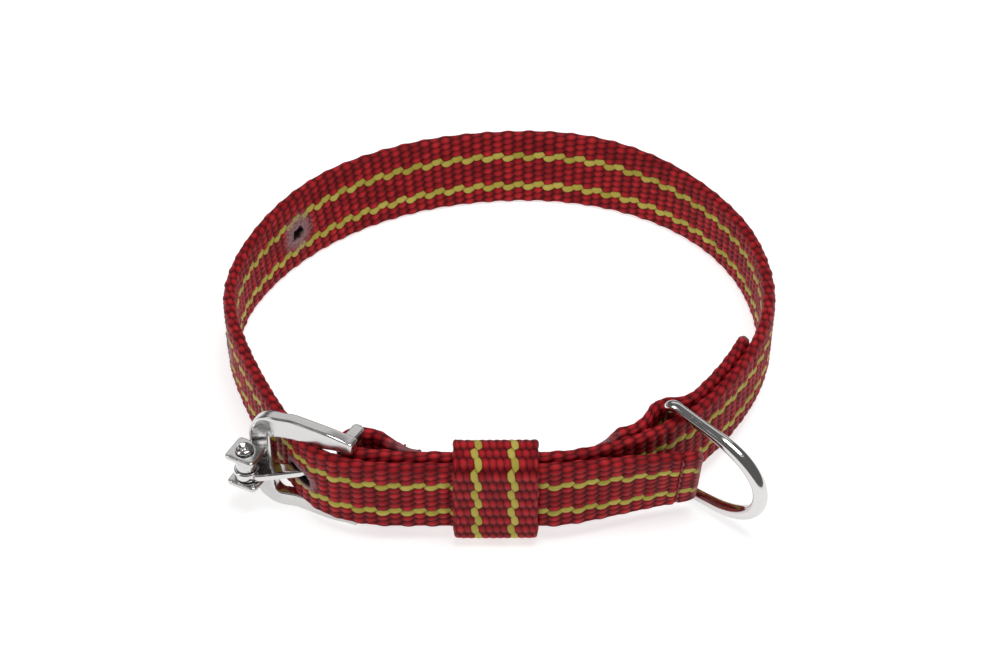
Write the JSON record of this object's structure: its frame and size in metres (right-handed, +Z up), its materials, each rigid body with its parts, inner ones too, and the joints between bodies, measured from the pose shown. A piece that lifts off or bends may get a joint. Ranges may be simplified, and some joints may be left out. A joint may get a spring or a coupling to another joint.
{
  "type": "dog collar",
  "caption": "Coarse webbing dog collar closed by a tongue buckle, with a sliding keeper and a leash D-ring held under a stitched patch.",
  "frame": {"origin": "centre of the collar's bounding box, on the surface the strap's lower edge stands on", "axes": "+Z up along the neck's axis, +X to the right along the buckled front, the buckled front faces -Y"},
  "size_m": [0.1406, 0.1386, 0.028],
  "materials": {
    "webbing": "coarse woven crimson synthetic webbing with two thin yellow warp stripes",
    "plated_metal": "polished bright plating",
    "thread": "crimson sewing thread"
  },
  "bodies": {
    "strap": {"strap": "webbing", "ring_patch": "webbing", "tail_backstitch": "thread", "ring_seam_front": "thread", "ring_seam_side": "thread", "patch_end_seam": "thread", "buckle_seam": "thread"},
    "buckle_frame": {"buckle_frame": "plated_metal", "hinge_pin": "plated_metal"},
    "tongue": {"tongue": "plated_metal"},
    "d_ring": {"d_ring": "plated_metal"},
    "keeper": {"keeper": "webbing"}
  },
  "joints": [
    {"name": "buckle_hinge", "type": "hinge", "parent": "strap", "child": "buckle_frame", "pos_m": [-0.03319, -0.05703, 0.014], "axis": [0, 0, 1], "range_deg": [-1, 6]},
    {"name": "tongue_hinge", "type": "hinge", "parent": "buckle_frame", "child": "tongue", "pos_m": [-0.06023, -0.05504, 0.012], "axis": [0, 0, -1], "range_deg": [0, 150]},
    {"name": "ring_swing", "type": "hinge", "parent": "strap", "child": "d_ring", "pos_m": [0.04019, -0.04723, 0.014], "axis": [0, 0, 1], "range_deg": [-10, 50]},
    {"name": "keeper_slide", "type": "slide", "parent": "strap", "child": "keeper", "axis": [1, 0, 0], "range_m": [-0.006, 0.004]}
  ]
}
